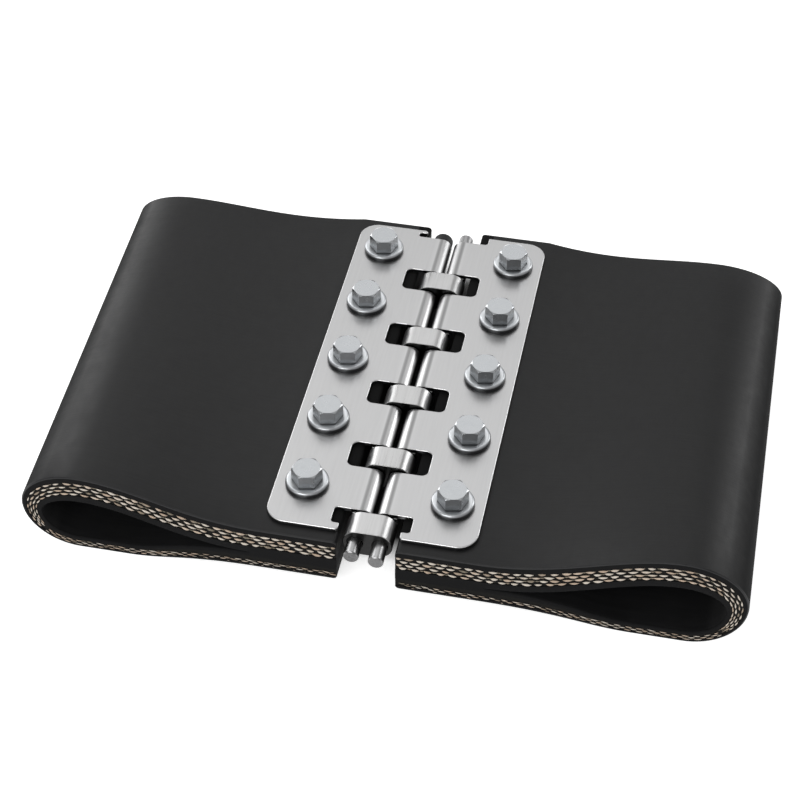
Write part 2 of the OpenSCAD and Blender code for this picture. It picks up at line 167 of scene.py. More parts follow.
class Shade:
    """A node material that starts with one surface shader."""

    def __init__(self, name, rough, metal=0.0, gloss=0.5):
        self.mat = bpy.data.materials.new(name)
        self.mat.use_nodes = True
        self.tree = self.mat.node_tree
        self.surface = self.tree.nodes["Principled BSDF"]
        self.surface.inputs["Metallic"].default_value = metal
        self.surface.inputs["Specular IOR Level"].default_value = gloss
        self.surface.inputs["Roughness"].default_value = rough
        space = self.node("ShaderNodeTexCoord")
        self.where, self.facing = space.outputs["Object"], space.outputs["Normal"]

    def node(self, kind, **values):
        made = self.tree.nodes.new(kind)
        for key, value in values.items():
            setattr(made, key, value)
        return made

    def link(self, source, target):
        self.tree.links.new(source, target)

    def grain(self, scale, stretch=(1, 1, 1), detail=3.0, rough=0.55):
        """Noise in the part's own space; scale counts cells in a metre."""
        place = self.node("ShaderNodeMapping")
        place.inputs["Scale"].default_value = stretch
        self.link(self.where, place.inputs["Vector"])
        noise = self.node("ShaderNodeTexNoise")
        noise.inputs["Scale"].default_value = scale
        noise.inputs["Detail"].default_value = detail
        noise.inputs["Roughness"].default_value = rough
        self.link(place.outputs["Vector"], noise.inputs["Vector"])
        return noise.outputs["Fac"]

    def spread(self, source, low, high, start=0.3, stop=0.7):
        """Numbers from start to stop, spread over low to high."""
        made = self.node("ShaderNodeMapRange")
        for key, value in zip(("From Min", "From Max", "To Min", "To Max"), (start, stop, low, high)):
            made.inputs[key].default_value = value
        self.link(source, made.inputs["Value"])
        return made.outputs["Result"]

    def join(self, a, b, kind="ADD"):
        """Two numbers made one: their sum, their product or the larger."""
        made = self.node("ShaderNodeMath", operation=kind)
        self.link(a, made.inputs[0])
        self.link(b, made.inputs[1])
        return made.outputs["Value"]

    def ramp(self, source, *stops):
        """Colours at places from nought to one."""
        made = self.node("ShaderNodeValToRGB")
        band = made.color_ramp
        while len(band.elements) < len(stops):
            band.elements.new(1.0)
        for element, (place, colour) in zip(band.elements, stops):
            element.position = place
            element.color = (*colour, 1.0)
        self.link(source, made.inputs["Fac"])
        return made.outputs["Color"]

    def split(self, source):
        """The three numbers of a vector."""
        parts = self.node("ShaderNodeSeparateXYZ")
        self.link(source, parts.inputs["Vector"])
        return parts.outputs["X"], parts.outputs["Y"], parts.outputs["Z"]

    def size(self, source):
        """A number without its sign."""
        made = self.node("ShaderNodeMath", operation="ABSOLUTE")
        self.link(source, made.inputs[0])
        return made.outputs["Value"]

    def from_hinge(self):
        """Distance from the middle of the hinge, across the pins."""
        made = self.node("ShaderNodeMath", operation="SUBTRACT")
        made.inputs[1].default_value = MID_X * MM
        self.link(self.split(self.where)[0], made.inputs[0])
        return self.size(made.outputs["Value"])

    def mixed(self, factor, a, b):
        """One colour, then the other."""
        made = self.node("ShaderNodeMix", data_type="RGBA")
        for source, key in ((factor, 0), (a, 6), (b, 7)):
            self.link(source, made.inputs[key])
        return made.outputs[2]

    def tinted(self, a, b):
        """One colour times another."""
        made = self.node("ShaderNodeMix", data_type="RGBA", blend_type="MULTIPLY")
        made.inputs[0].default_value = 1.0
        self.link(a, made.inputs[6])
        self.link(b, made.inputs[7])
        return made.outputs[2]

    def colour(self, source):
        self.link(source, self.surface.inputs["Base Color"])

    def rough(self, source):
        self.link(source, self.surface.inputs["Roughness"])

    def bump(self, source, depth, strength=1.0):
        made = self.node("ShaderNodeBump")
        made.inputs["Strength"].default_value = strength
        made.inputs["Distance"].default_value = depth
        self.link(source, made.inputs["Height"])
        self.link(made.outputs["Normal"], self.surface.inputs["Normal"])


def scaled(colour, k):
    """A lighter or darker colour."""
    return tuple(min(1.0, c * k) for c in colour)


def grey(k):
    return (k, k, k)


KNUCKLE_PAINTED_BANDS = (  # millimetres from the middle of the hinge: a painted highlight on the crest, then painted shade in the valley beside it
    (0.0, 0.7), (1.6, 1.0), (2.6, 1.4), (3.6, 1.5), (4.3, 0.85), (4.8, 0.54), (5.5, 0.56), (6.3, 1.06),
    (8.0, 1.0))
KNUCKLE_SPAN = 10.0
KNUCKLE_END = (0.0094, 0.0098)  # metres from there to where the flat sheet starts


def brushed_plate(metal):
    """Satin steel with hair lines along the plate; painted highlight and shade bands on the knuckles, painted
    highlights on rounded edges and painted shade on upright walls.
    """
    s = Shade("brushed_plate", metal.plate_rough, metal=1.0)
    hair = s.grain(900, (1, 0.05, 1), 4.0)
    cloud = s.grain(28, (1, 0.6, 1), 3.0)
    mixed = s.join(s.spread(hair, -0.5, 0.5), s.spread(cloud, 0.1, 0.9))
    tones = s.ramp(s.spread(mixed, 0.0, 1.0, -0.2, 1.2), (0.0, scaled(metal.plate_tint, 0.95)),
                   (0.5, metal.plate_tint), (1.0, scaled(metal.plate_tint, 1.04)))
    # Painted light by facing: the knuckles darken as they turn away from the top, rounded edges are lighter and
    # upright walls darker.
    up = s.split(s.facing)[2]
    painted_knuckle_shade = s.ramp(up, (0.0, grey(0.14)), (0.3, grey(0.2)), (0.52, grey(0.5)), (0.7, grey(1.0)))
    painted_edge_light_and_wall_shade = s.ramp(up, (0.0, grey(0.3)), (0.2, grey(0.6)), (0.4, grey(1.6)), (0.93, grey(1.6)),
                     (0.985, grey(1.0)))
    # Painted bands across the knuckles: a highlight on the crest and shade in the valley beside it.
    away = s.from_hinge()
    painted_knuckle_bands = s.ramp(s.spread(away, 0.0, 1.0, 0.0, KNUCKLE_SPAN * MM),
                    *((d / KNUCKLE_SPAN, grey(k)) for d, k in KNUCKLE_PAINTED_BANDS))
    sheet = s.spread(away, 0.0, 1.0, *KNUCKLE_END)
    s.colour(s.tinted(tones, s.mixed(sheet, s.tinted(painted_knuckle_shade, painted_knuckle_bands), painted_edge_light_and_wall_shade)))
    s.rough(s.spread(mixed, metal.plate_rough - 0.03, metal.plate_rough + 0.04, -0.2, 1.2))
    s.bump(hair, 0.00002, 0.13)
    return s.mat


def drawn_steel(name, colour, rough, streak, ends, below):
    """Steel with streaks along the pins, with painted shade on the end faces and on what faces down; ends and
    below set how dark these are.
    """
    s = Shade(name, rough, metal=1.0)
    hair = s.grain(1100, (1, 0.03, 1), 4.0)
    cloud = s.grain(120, (1, 0.25, 1), 3.0)
    mixed = s.join(s.spread(hair, -0.5, 0.5), s.spread(cloud, 0.0, 1.0))
    tones = s.ramp(s.spread(mixed, 0.0, 1.0, -0.3, 1.3), (0.0, scaled(colour, 1.0 - 1.6 * streak)),
                   (0.55, colour), (1.0, scaled(colour, 1.0 + streak)))
    _, endwise, up = s.split(s.facing)
    # Painted shade: darker on the end faces and on the faces that turn downwards.
    painted_end_shade = s.ramp(s.size(endwise), (0.5, grey(1.0)), (0.9, grey(ends)))
    painted_underside_shade = s.ramp(up, (0.0, grey(below)), (0.3, grey(0.5 * below + 0.3)), (0.65, grey(1.0)))
    s.colour(s.tinted(tones, s.mixed(s.spread(s.size(endwise), 0.0, 1.0, 0.5, 0.9), painted_underside_shade, painted_end_shade)))
    s.rough(s.spread(mixed, rough - 0.06, rough + 0.08, -0.3, 1.3))
    s.bump(hair, 0.00003, 0.4)
    return s.mat


def plated_bolt(metal):
    """Zinc plating on hexes, with painted light: flats lit or shaded by the side they face, a painted highlight
    on the chamfer, and a painted shadow at the foot.
    """
    s = Shade("plated_bolt", metal.zinc_rough, metal=1.0)
    cloud = s.grain(260, (1, 1, 1), 4.0)
    tones = s.ramp(cloud, (0.25, scaled(metal.zinc_tint, 0.94)), (0.75, scaled(metal.zinc_tint, 1.05)))
    aside, _, up = s.split(s.facing)
    # Painted light and shade by facing, a painted highlight on the chamfer, and a painted shadow line at the
    # foot of each hex.
    painted_flat_light_and_shade = s.ramp(s.spread(aside, 0.0, 1.0, -1.0, 1.0), (0.1, grey(0.85)), (0.5, grey(0.32)), (0.9, grey(0.5)))
    painted_chamfer_light = s.ramp(up, (0.42, grey(0.95)), (0.7, grey(1.15)), (0.93, grey(1.1)), (0.985, grey(0.82)))
    skin = s.mixed(s.spread(up, 0.0, 1.0, 0.12, 0.4), painted_flat_light_and_shade, painted_chamfer_light)
    painted_foot_shadow = s.spread(s.split(s.where)[2], 0.1, 1.0, SEAT_Z + FOOT_SHADOW_BAND[0], SEAT_Z + FOOT_SHADOW_BAND[1])
    s.colour(s.tinted(s.tinted(tones, skin), painted_foot_shadow))
    s.rough(s.spread(cloud, metal.zinc_rough - 0.04, metal.zinc_rough + 0.05))
    return s.mat


def plated_washer(metal):
    """Zinc plating on the tumbled washers, with painted shade in the dish and a painted shadow line round the
    foot.
    """
    s = Shade("plated_washer", metal.washer_rough, metal=1.0)
    cloud = s.grain(300, (1, 1, 1), 4.0)
    tones = s.ramp(cloud, (0.25, scaled(metal.zinc_tint, 1.1)), (0.75, scaled(metal.zinc_tint, 1.3)))
    up = s.split(s.facing)[2]
    # Painted shade in the dish by height, and a painted shadow on the upright faces round the foot.
    painted_dish_shade = s.spread(s.split(s.where)[2], 0.68, 1.0, SEAT_Z, SEAT_Z + DISH)
    foot = s.ramp(up, (0.0, grey(0.1)), (0.25, grey(0.35)), (0.55, grey(1.0)))
    s.colour(s.tinted(s.tinted(tones, foot), painted_dish_shade))
    s.rough(s.spread(cloud, metal.washer_rough - 0.05, metal.washer_rough + 0.06))
    return s.mat


def moulded_cap(metal):
    """Matt black plastic."""
    s = Shade("moulded_cap", 0.5, gloss=0.4)
    fine = s.grain(1800, (1, 1, 1), 2.0)
    s.colour(s.ramp(fine, (0.2, scaled(metal.cap_tint, 0.8)), (0.8, scaled(metal.cap_tint, 1.3))))
    s.rough(s.spread(fine, 0.44, 0.58))
    s.bump(fine, 0.00004, 0.4)
    return s.mat


HINGE_SHADE_FADE = 0.001


def cover_rubber(belt):
    """Calendered black rubber: fine lines along the belt, matt bends, and painted shade beside the hinge."""
    s = Shade("cover_rubber", belt.cover_rough, gloss=belt.cover_gloss)
    line = s.grain(900, (0.06, 1, 0.06), 3.0)
    cloud = s.grain(45, (1, 1, 1), 4.0)
    fine = s.grain(2400, (1, 1, 1), 2.0)
    mixed = s.join(s.spread(line, -0.5, 0.5), s.spread(cloud, 0.0, 1.0))
    tones = s.ramp(s.spread(mixed, 0.0, 1.0, -0.4, 1.4), (0.0, scaled(belt.cover_tint, 0.75)),
                   (1.0, scaled(belt.cover_tint, 1.3)))
    # Painted shade: the cover's colour falls to a fifth within shade_reach of the hinge, behind the front edge
    # of the plates.
    clear_of_hinge_shade = s.spread(s.from_hinge(), 0.0, 1.0, belt.shade_reach - HINGE_SHADE_FADE, belt.shade_reach)
    clear_ahead_of_shade = s.spread(s.split(s.where)[1], 1.0, 0.0, PLATE_Y[0], PLATE_Y[0] + HINGE_SHADE_FADE)
    outside_painted_shade = s.join(clear_of_hinge_shade, clear_ahead_of_shade, "MAXIMUM")
    s.colour(s.tinted(tones, s.spread(outside_painted_shade, 0.2, 1.0, 0.0, 1.0)))
    mottle = s.grain(260, (1, 0.6, 1), 4.0, 0.7)
    satin = s.join(s.spread(mixed, belt.cover_rough - 0.04, belt.cover_rough + 0.06, -0.4, 1.4),
                   s.spread(mottle, -0.04, 0.04))
    matt = s.spread(s.size(s.split(s.facing)[0]), 0.0, 0.55, 0.5, 0.82)
    s.rough(s.join(s.join(satin, matt), s.spread(outside_painted_shade, 0.95, 0.0, 0.0, 1.0), "MAXIMUM"))
    s.bump(s.join(s.spread(line, 0.0, 0.6), s.join(fine, mottle)), 0.00005, 0.4)
    return s.mat


def cut_rubber(belt):
    """Rubber where a knife has cut it, duller and finely torn."""
    s = Shade("cut_rubber", 0.8, gloss=0.1)
    torn = s.grain(700, (1, 1, 1), 5.0, 0.7)
    s.colour(s.ramp(torn, (0.3, scaled(belt.cut_tint, 0.65)), (0.7, scaled(belt.cut_tint, 1.35))))
    s.rough(s.spread(torn, 0.7, 0.9))
    s.bump(torn, 0.00012, 0.5)
    return s.mat


def painted_edge_highlight(belt):
    """Lighter rubber along the cut edges: a painted highlight."""
    s = Shade("painted_edge_highlight", 0.5, gloss=0.35)
    scuff = s.grain(500, (0.2, 1, 0.2), 4.0, 0.65)
    s.colour(s.ramp(scuff, (0.3, scaled(belt.edge_highlight_tint, 0.7)), (0.7, scaled(belt.edge_highlight_tint, 1.25))))
    s.rough(s.spread(scuff, 0.42, 0.6))
    s.bump(scuff, 0.00006, 0.4)
    return s.mat


def soaked_core():
    """The dark bed of rubbered cloth between the yarns."""
    s = Shade("soaked_core", 0.75, gloss=0.15)
    weave = s.grain(420, (1, 1, 1), 5.0, 0.65)
    s.colour(s.ramp(weave, (0.35, (0.004, 0.004, 0.004)), (0.7, (0.014, 0.013, 0.011)),
                    (0.9, (0.03, 0.027, 0.02))))
    s.rough(s.spread(weave, 0.65, 0.85))
    s.bump(weave, 0.0003, 0.6)
    return s.mat


TWIST = 18.0


def twisted_yarn(weave):
    """Cream yarn; each strand keeps its own tone, darkened as painted shade where it lies deep or on the return
    run, and the twist runs round it.
    """
    s = Shade("twisted_yarn", 0.7, gloss=0.25)
    lay = s.node("ShaderNodeAttribute", attribute_name="lay")
    parts = s.node("ShaderNodeSeparateXYZ")
    s.link(lay.outputs["Vector"], parts.inputs["Vector"])
    turn = s.node("ShaderNodeMath", operation="MULTIPLY_ADD")
    turn.inputs[1].default_value = TWIST
    s.link(parts.outputs["X"], turn.inputs[0])
    s.link(parts.outputs["Y"], turn.inputs[2])
    wave = s.node("ShaderNodeMath", operation="SINE")
    s.link(turn.outputs["Value"], wave.inputs[0])
    fuzz = s.grain(1500, (1, 1, 1), 3.0)
    tone = s.join(parts.outputs["Z"], s.spread(fuzz, -0.1, 0.1))
    s.colour(s.ramp(tone, (0.0, weave.deep_yarn_shade), (0.3, scaled(weave.tan, 0.8)), (0.55, weave.tan),
                    (0.75, weave.cream), (1.0, scaled(weave.cream, 1.06))))
    s.rough(s.spread(fuzz, 0.6, 0.85))
    s.bump(s.join(s.spread(wave.outputs["Value"], 0.0, 1.0, -1.0, 1.0), fuzz), 0.00008, 0.5)
    return s.mat


def wear(obj, material):
    """The object's only material."""
    obj.data.materials.clear()
    obj.data.materials.append(material)


WELD_GAP = 0.000004
FLAT_ANGLE, CHAMFER_ANGLE, SMOOTH_ANGLE = (math.radians(a) for a in (0.4, 24, 40))
FLAT_WEIGHT = 60
HEX_ANGLE, RIM_ANGLE = 40.0, 25.0


def soften_edges(obj, width, segments=3, angle=35.0, clamp=True, crisp=False):
    """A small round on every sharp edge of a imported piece; a crisp one keeps the edges of its chamfers."""
    weld = obj.modifiers.new("one skin", "WELD")
    weld.merge_threshold = WELD_GAP
    flat = obj.modifiers.new("flat faces", "DECIMATE")
    flat.decimate_type = "DISSOLVE"
    flat.angle_limit = FLAT_ANGLE
    edge = obj.modifiers.new("soft edges", "BEVEL")
    edge.width = width
    edge.segments = segments
    edge.limit_method = "ANGLE"
    edge.angle_limit = math.radians(angle)
    edge.use_clamp_overlap = clamp
    if crisp:
        obj.modifiers.new("chamfers", "EDGE_SPLIT").split_angle = CHAMFER_ANGLE
    shade = obj.modifiers.new("even shade", "WEIGHTED_NORMAL")
    shade.weight = FLAT_WEIGHT
    shade.keep_sharp = False


# The folded belt, from the same sizes as the solids, in millimetres

END_X, FLAT_X, BOND_X = 12.05, 44.0, 48.0
TOP_Z, FOOT_Z, BOND_Z = 27.0, 4.7, 13.0
TOP_T, BEND_T, LOW_T, BEND_DROP = 14.0, 8.4, 6.0, 3.0
COVER, CORE, END_SHARE = 0.22, 0.74, 0.96
BELLY_BACK, BELLY_HALF = 8.0, 10.0
LOOP = {  # reach, crest, heights of the crest and of the bend's end: at the front edge, then at the back edge
    "left": ((144.0, 119.0, 41.2, 21.4), (155.5, 128.0, 26.6, 12.0)),
    "right": ((152.0, 126.0, 45.2, 24.0), (153.5, 122.5, 27.4, 12.0)),
}
BACK_DIP = 6.2
ROUND_K = 0.5523
RISE_EASE, RETURN_EASE = (0.43, 0.31), (0.3, 0.6)
RISE_STEPS, TURN_STEPS, REST_STEPS, RETURN_STEPS = 44, 30, 6, 40
LEAD = np.concatenate(([0, 0.06, 0.16, 0.32, 0.55, 0.85, 1.2, 1.6, 2.4, 4], np.linspace(8, 32, 7)))
LEAD_N = len(LEAD)
CREST_AT = LEAD_N + RISE_STEPS - 1
TIP_AT = CREST_AT + TURN_STEPS
FRONT_Y, BACK_Y = (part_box("left_carcass")[k].y / MM for k in (0, 1))
MID_X = (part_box("right_hinge_pin")[0].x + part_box("left_hinge_pin")[1].x) / 2 / MM
POCKET_R, POCKET_Z = 8.8, 12.3
BOLT_R, BOLTS = 3.575, 5
DRILL_BELOW, DRILL_ABOVE, DRILL_SIDES = 5.0, 4.0, 64

# Places that the materials go by, in metres
PLATE_Y = [corner.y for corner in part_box("left_plate")]
# FOOT_SHADOW_BAND: heights above the seat of the painted shadow line at the foot of the hexes.
DISH, FOOT_SHADOW_BAND = 0.0004, (0.0001, 0.0008)
SEAT_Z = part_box("left_washers")[1].z - DISH


def bezier(a, b, c, d, steps):
    """Points of a curve with four handles, without its first point."""
    a, b, c, d = (np.array(p, float) for p in (a, b, c, d))
    t = np.linspace(0, 1, steps + 1)[1:, None]
    return (1 - t) ** 3 * a + 3 * (1 - t) ** 2 * t * b + 3 * (1 - t) * t * t * c + t ** 3 * d


def sway(a, d, start, stop, steps, dip=0.0):
    """A run from one level to another that leaves and arrives level, apart from a dip where it starts."""
    run = d[0] - a[0]
    return bezier(a, (a[0] + start * run, a[1] - dip), (d[0] - stop * run, d[1]), d, steps)


def strip_line(flat_x, top_z, foot_z, crest, tip, rest_z, belly, dip=0.0):
    """One line of the folded strip: along the top run, round the bend and back below, in millimetres."""
    near, far = (belly - BELLY_HALF, rest_z), (belly + BELLY_HALF, rest_z)
    lead = END_X + LEAD * (flat_x - END_X) / LEAD[-1]
    top = np.stack((lead, np.full(len(lead), top_z)), axis=1)
    foot = np.stack((lead[::-1], np.full(len(lead), foot_z)), axis=1)
    turn_down = bezier(crest, (crest[0] + ROUND_K * (tip[0] - crest[0]), crest[1]),
                       (tip[0], tip[1] + ROUND_K * (crest[1] - tip[1])), tip, TURN_STEPS)
    turn_back = bezier(tip, (tip[0], tip[1] + ROUND_K * (far[1] - tip[1])),
                       (far[0] + ROUND_K * (tip[0] - far[0]), far[1]), far, TURN_STEPS)
    flat = np.linspace(far, near, REST_STEPS + 1)[1:]
    rise = sway((flat_x, top_z), crest, *RISE_EASE, RISE_STEPS, dip)
    back = sway(near, (flat_x, foot_z), *RETURN_EASE, RETURN_STEPS)
    return np.concatenate((top, rise, turn_down, turn_back, flat, back, foot[1:]))


def strip_lines(side):
    """Outer and inner line of a belt end, at the front edge and at the flatter back edge."""
    belly = LOOP[side][0][1] - BELLY_BACK
    edges = []
    for (reach, crest_x, crest_z, end_z), dip in zip(LOOP[side], (0.0, BACK_DIP)):
        edges.append((
            strip_line(FLAT_X, TOP_Z, FOOT_Z, (crest_x, crest_z), (reach, end_z), 0.0, belly, dip),
            strip_line(BOND_X, BOND_Z, BOND_Z, (crest_x, crest_z - TOP_T), (reach - BEND_T, end_z - BEND_DROP),
                       LOW_T, belly)))
    return edges


def section_at(edges, y):
    """Outer line, way inwards and thickness at a place across the belt."""
    t = (y - FRONT_Y) / (BACK_Y - FRONT_Y)
    outer, inner = ((1 - t) * edges[0][j] + t * edges[1][j] for j in (0, 1))
    span = inner - outer
    thick = np.hypot(span[:, 0], span[:, 1])
    return outer, span / thick[:, None], thick


def in_row(side, x, y, z):
    """A point of the strip in the part's frame, in metres."""
    return ((MID_X + SIGN[side] * x) * MM, y * MM, z * MM)


def layer_mesh(name, side, ring, skip=None):
    """Sweeps a closed ring along the strip.

    The ring lists for each of its points the place across the belt, a function from the thickness to the
    depth below the outer line, and the kind of the face that follows: 0 is skin, 1 a cut face and 2 an edge
    with a painted highlight.
    """
    edges = strip_lines(side)
    mesh = bmesh.new()
    grid = []
    for y, depth, _ in ring:
        outer, way, thick = section_at(edges, y)
        p = outer + way * np.broadcast_to(depth(thick), thick.shape)[:, None]
        grid.append([mesh.verts.new(in_row(side, q[0], y, q[1])) for q in p])
    m, n = len(grid), len(grid[0])
    for k in range(n - 1):
        for j in range(m):
            if skip and skip(k, j):
                continue
            i = (j + 1) % m
            made = mesh.faces.new((grid[j][k], grid[i][k], grid[i][k + 1], grid[j][k + 1]))
            made.material_index = ring[j][2]
            made.smooth = True
    for k in (0, n - 1):
        mesh.faces.new([line[k] for line in grid]).material_index = 1
    bmesh.ops.remove_doubles(mesh, verts=mesh.verts, dist=1e-7)
    bmesh.ops.recalc_face_normals(mesh, faces=mesh.faces)
    data = bpy.data.meshes.new(name)
    mesh.to_mesh(data)
    mesh.free()
    obj = bpy.data.objects.new(name, data)
    bpy.context.scene.collection.objects.link(obj)
    return obj


def across(n):
    """Places across the belt between its cut edges."""
    return np.linspace(FRONT_Y, BACK_Y, n)[1:-1]


def rounded(angles):
    """Angles in radians."""
    return [math.radians(a) for a in angles]


def cover_ring(belt):
    """Section of the outer cover, round along its cut edges and across its bonded end."""
    r, end_r = belt.edge_round / MM, belt.end_round / MM
    lead = strip_lines("left")[0][0][:, 0]
    inset = np.clip(end_r - (lead - END_X), 0.0, end_r)
    end_drop = end_r - np.sqrt(end_r ** 2 - inset ** 2)

    def below(drop):
        return lambda thick: np.minimum(end_drop + drop, END_SHARE * COVER * thick)

    arc = rounded((90, 68, 45, 22, 0))
    ring = [(FRONT_Y + r - r * math.sin(a), below(r - r * math.cos(a)), 2 if a else 0) for a in arc]
    ring += [(y, below(0.0), 0) for y in across(13)]
    ring += [(BACK_Y - r + r * math.sin(a), below(r - r * math.cos(a)), 2) for a in arc[:0:-1]]
    ring.append((BACK_Y, below(r), 1))
    ring += [(BACK_Y, lambda thick: COVER * thick, 0), (FRONT_Y, lambda thick: COVER * thick, 1)]
    return ring


def core_ring(belt):
    """Section of the woven core, a little behind the cut edges."""
    recess = belt.core_recess / MM
    low, high = FRONT_Y + recess, BACK_Y - recess
    return [(y, lambda thick, share=share: share * thick, 0)
            for y, share in ((low, COVER), (high, COVER), (high, CORE), (low, CORE))]


def lining_ring(belt):
    """Section of the inner cover, round along its edges where the loop is open."""
    n = len(strip_lines("left")[0][0])
    stations = np.arange(n)
    is_open = (stations >= LEAD_N) & (stations < n - LEAD_N)
    r = belt.edge_round / MM

    def above(lift):
        return lambda thick: thick - lift * is_open

    arc = rounded((90, 60, 30, 0))
    ring = [(FRONT_Y, lambda thick: CORE * thick, 0), (BACK_Y, lambda thick: CORE * thick, 1)]
    ring += [(BACK_Y - r + r * math.sin(a), above(r - r * math.cos(a)), 1) for a in arc[:-1]]
    ring.append((BACK_Y - r, above(0.0), 0))
    ring += [(y, above(0.0), 0) for y in across(7)[::-1]]
    ring += [(FRONT_Y + r - r * math.sin(a), above(r - r * math.cos(a)), 1) for a in arc[:0:-1]]
    ring.append((FRONT_Y, above(r), 1))
    return ring


def bonded(ring):
    """Picks the faces that vanish where the inner cover is bonded to itself."""
    n = len(strip_lines("left")[0][0])

    def pick(k, j):
        return 2 <= j < len(ring) - 1 and not LEAD_N - 1 <= k < n - LEAD_N

    return pick


def bolt_places(side):
    """Centres of the five bolts of a side, in metres."""
    co = np.array([v.co for v in NODES[side + "_washers"].data.vertices])
    low, high = co.min(0), co.max(0)
    r = (high[0] - low[0]) / 2
    x = (high[0] + low[0]) / 2
    return [(x, y) for y in np.linspace(low[1] + r, high[1] - r, BOLTS)]


def bore_out(obj, side):
    """Cuts the bolt holes and the pockets of the nuts."""
    cut = bmesh.new()
    for x, y in bolt_places(side):
        for radius, top in ((POCKET_R, POCKET_Z), (BOLT_R, TOP_Z + DRILL_ABOVE)):
            bmesh.ops.create_cone(cut, cap_ends=True, segments=DRILL_SIDES,
                                  radius1=radius * MM, radius2=radius * MM, depth=(top + DRILL_BELOW) * MM,
                                  matrix=Matrix.Translation((x, y, (top - DRILL_BELOW) / 2 * MM)))
    data = bpy.data.meshes.new("drill")
    cut.to_mesh(data)
    cut.free()
    drill = bpy.data.objects.new("drill", data)
    bpy.context.scene.collection.objects.link(drill)
    hole = obj.modifiers.new("holes", "BOOLEAN")
    hole.operation = "DIFFERENCE"
    hole.solver = "EXACT"
    hole.use_self = True
    hole.object = drill
    solid = bpy.data.meshes.new_from_object(obj.evaluated_get(bpy.context.evaluated_depsgraph_get()))
    obj.modifiers.clear()
    obj.data = solid
    bpy.data.objects.remove(drill)


def belt_piece(side, part, ring, materials, skip=None):
    """A belt layer that stands for its solid."""
    node = f"{side}_{part}"
    obj = layer_mesh(node + "_rubber" if "cover" in part else node + "_cloth", side, ring, skip)
    for m in materials:
        obj.data.materials.append(m)
    bore_out(obj, side)
    obj.data.set_sharp_from_angle(angle=SMOOTH_ANGLE)
    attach(obj, BODY[side])
    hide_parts(node)


# The yarns on the cut edges

ROWS_TOP = (3.9, 5.75, 7.6, 9.45)  # depth of each row: on the top run, at the tip, past the bend, below
ROWS_TIP = (2.5, 3.7, 4.9, 6.1)
ROWS_TURN = (2.0, 2.75, 3.5, 4.25)
ROWS_LOW = (1.6, 2.5, 3.4)
TURN_T = 7.0
FADE_AT, FADE = (0.0, 0.6, 0.78, 0.9, 1.0), (1.0, 1.0, 0.82, 0.58, 0.46)
YARN_ROUNDS, YARN_STEPS = 8, 10
YARN_TONES = (0.42, 0.58, 0.7, 0.78, 0.86, 0.94, 1.0, 0.64)
# LOW_RUN_SHADE: painted shade on the yarns of the return run.
LOW_RUN_SHADE = 0.88
YARN_FIRST, YARN_START, YARN_SHIFT = 0.8, 0.3, 0.3  # millimetres along a row
YARN_SINK, DEEP_SINK, UNDER_SINK = (0.1, 0.24), 0.3, 0.34  # millimetres behind the cut edge
# Yarns that lie deep, and the second yarns below, get dark tones: painted shade.
DEEP_SHARE, DEEP_SHADE_TONE = 0.12, (0.05, 0.3)
UNDER_SHARE, UNDER_SHADE_TONE = 0.35, (0.0, 0.15)
YARN_TILT = (-9.0, 2.0)


def yarn_rows(side, face):
    """Lines that the rows follow on the front (0) or back (1) edge: those of the top run, then the others."""
    outer, way, thick = section_at(strip_lines(side), (FRONT_Y, BACK_Y)[face])
    turn = TIP_AT + TURN_STEPS // 2
    top_rows = []
    for top, tip, past in zip(ROWS_TOP, ROWS_TIP, ROWS_TURN):
        depth = np.interp(np.arange(turn), (0, CREST_AT, TIP_AT, turn),
                          (top / TOP_T, top / TOP_T, tip / BEND_T, past / TURN_T))
        top_rows.append(outer[:turn] + way[:turn] * (depth * thick[:turn])[:, None])
    low_rows = [outer[turn:] + way[turn:] * low for low in ROWS_LOW]
    return np.array(top_rows), np.array(low_rows)


class Run:
    """Rows of yarn, counted along their common middle so that they keep their brick lay round the bend."""

    def __init__(self, rows):
        self.rows = rows
        step = np.hypot(*np.diff(rows.mean(0), axis=0).T)
        self.way = np.concatenate(([0], np.cumsum(step)))
        self.length = self.way[-1]

    def at(self, row, s):
        """Point and direction in a row, at a distance along the middle."""
        o, p, q = (np.array([np.interp(t, self.way, self.rows[row][:, k]) for k in (0, 1)])
                   for t in (s - 0.5, s, s + 0.5))
        d = q - o
        return p, d / max(1e-9, float(np.hypot(*d)))


